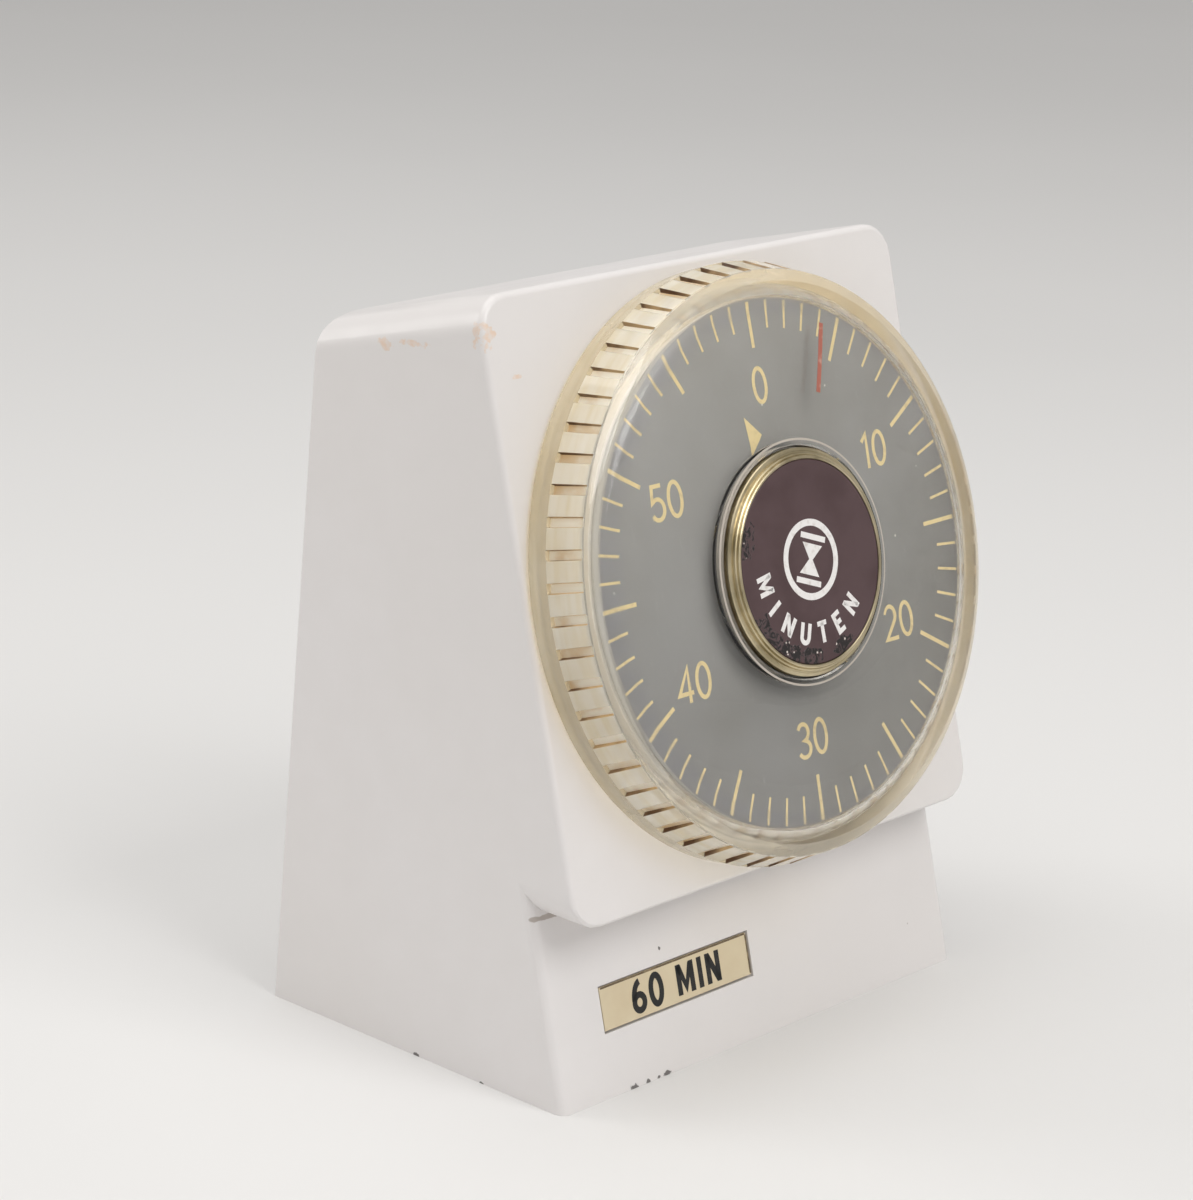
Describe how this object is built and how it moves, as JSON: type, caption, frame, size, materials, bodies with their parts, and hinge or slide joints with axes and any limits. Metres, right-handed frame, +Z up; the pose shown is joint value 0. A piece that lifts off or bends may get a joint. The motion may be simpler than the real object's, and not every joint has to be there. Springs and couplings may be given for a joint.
{
  "type": "interval timer",
  "caption": "Wind-up sixty-minute interval timer with a bell: a leaning white case, a grey minute dial under a big clear ribbed knob, and a full clockwork train inside.",
  "frame": {"origin": "on the table, under the middle of the whole object's box", "axes": "+Z up, -Y towards the user who reads the dial, +X to that user's right"},
  "size_m": [0.084, 0.0696, 0.1097],
  "materials": {
    "white_plastic": "glossy white moulding",
    "dark_fibre": "matt dark fibre board",
    "cream_label": "aged cream plate",
    "dial_grey": "grey printed dial",
    "clear_plastic": "clear acrylic, yellowed",
    "maroon_label": "dark maroon-brown label",
    "brass": "brass",
    "steel": "bright steel",
    "blued_steel": "blued spring steel"
  },
  "bodies": {
    "case": {"housing": "white_plastic", "rear_cover": "white_plastic", "bottom_plate": "dark_fibre", "rear_screw_lower_right": "steel", "rear_screw_upper_right": "steel", "rear_screw_lower_left": "steel", "rear_screw_upper_left": "steel", "floor_screw_left": "steel", "floor_screw_right": "steel", "name_plate": "cream_label", "dial_carrier": "white_plastic", "dial_disc": "dial_grey", "mounting_screw_1": "steel", "mounting_screw_2": "steel", "mounting_screw_3": "steel", "front_plate": "brass", "rear_plate": "brass", "pillar_1": "brass", "pillar_2": "brass", "pillar_3": "brass", "pillar_4": "brass", "pillar_nut_1": "steel", "pillar_nut_2": "steel", "pillar_nut_3": "steel", "pillar_nut_4": "steel", "bell": "steel", "bell_post": "steel", "bell_nut": "steel", "mainspring": "blued_steel", "spring_post": "steel", "hairspring": "blued_steel"},
    "knob": {"time_knob": "clear_plastic", "hub_cap": "brass", "hub_label": "maroon_label", "knob_bush": "brass", "knob_screw": "steel", "main_arbor": "steel", "stop_cam": "brass", "ratchet_wheel": "steel"},
    "great_wheel": {"great_wheel": "brass", "click_stud": "steel"},
    "click": {"click": "steel"},
    "second_wheel": {"second_pinion": "steel", "second_wheel": "brass", "star_wheel": "steel"},
    "third_wheel": {"third_pinion": "steel", "third_wheel": "brass"},
    "escape_wheel": {"escape_pinion": "steel", "escape_wheel": "brass"},
    "pallets": {"pallet_arbor": "steel", "pallet_lever": "steel"},
    "balance": {"balance_staff": "steel", "balance_wheel": "brass"},
    "hammer": {"hammer_arbor": "steel", "hammer_arm": "steel", "hammer_head": "brass", "hammer_tail": "steel"},
    "release": {"release_arbor": "steel", "release_lever": "steel"}
  },
  "joints": [
    {"name": "knob_turn", "type": "hinge", "parent": "case", "child": "knob", "pos_m": [0, -0.0152, 0.0679], "axis": [0, 0.9703, -0.2419], "range_deg": [-20, 340]},
    {"name": "great_wheel_turn", "type": "hinge", "parent": "case", "child": "great_wheel", "pos_m": [0, 0.00042, 0.06401], "axis": [0, 0.9703, -0.2419], "continuous": true},
    {"name": "click_swing", "type": "hinge", "parent": "great_wheel", "child": "click", "pos_m": [-0.00688, -0.0004, 0.06899], "axis": [0, 0.9703, -0.2419], "range_deg": [-12, 0], "stiffness_Nm_per_rad": 0.0005, "springref_deg": 5.73},
    {"name": "second_wheel_turn", "type": "hinge", "parent": "case", "child": "second_wheel", "pos_m": [-0.01485, -0.00036, 0.0489], "axis": [0, 0.9703, -0.2419], "continuous": true},
    {"name": "third_wheel_turn", "type": "hinge", "parent": "case", "child": "third_wheel", "pos_m": [-0.00186, -0.00702, 0.04283], "axis": [0, 0.9703, -0.2419], "continuous": true},
    {"name": "escape_wheel_turn", "type": "hinge", "parent": "case", "child": "escape_wheel", "pos_m": [0.00998, -0.00113, 0.0458], "axis": [0, 0.9703, -0.2419], "continuous": true},
    {"name": "balance_turn", "type": "hinge", "parent": "case", "child": "balance", "pos_m": [0.02129, 0.00084, 0.05782], "axis": [0, 0.9703, -0.2419], "range_deg": [-90, 90], "stiffness_Nm_per_rad": 0.000001},
    {"name": "pallet_swing", "type": "hinge", "parent": "case", "child": "pallets", "pos_m": [0.01891, 0.0016, 0.04847], "axis": [0, 0.9703, -0.2419], "range_deg": [-3, 3]},
    {"name": "hammer_swing", "type": "hinge", "parent": "case", "child": "hammer", "pos_m": [-0.027, 0.01123, 0.07058], "axis": [0, -0.9703, 0.2419], "range_deg": [-5, 5], "stiffness_Nm_per_rad": 0.001},
    {"name": "release_swing", "type": "hinge", "parent": "case", "child": "release", "pos_m": [-0.017, 0.01001, 0.08223], "axis": [0, 0.9703, -0.2419], "range_deg": [0, 4], "stiffness_Nm_per_rad": 0.0005, "springref_deg": -5.73}
  ],
  "couplings": [
    {"joint": "great_wheel_turn", "follows": "knob_turn", "ratio": 1},
    {"joint": "second_wheel_turn", "follows": "knob_turn", "ratio": -6},
    {"joint": "third_wheel_turn", "follows": "knob_turn", "ratio": 30},
    {"joint": "escape_wheel_turn", "follows": "knob_turn", "ratio": -180},
    {"joint": "pallet_swing", "follows": "balance_turn", "ratio": -0.0333}
  ]
}
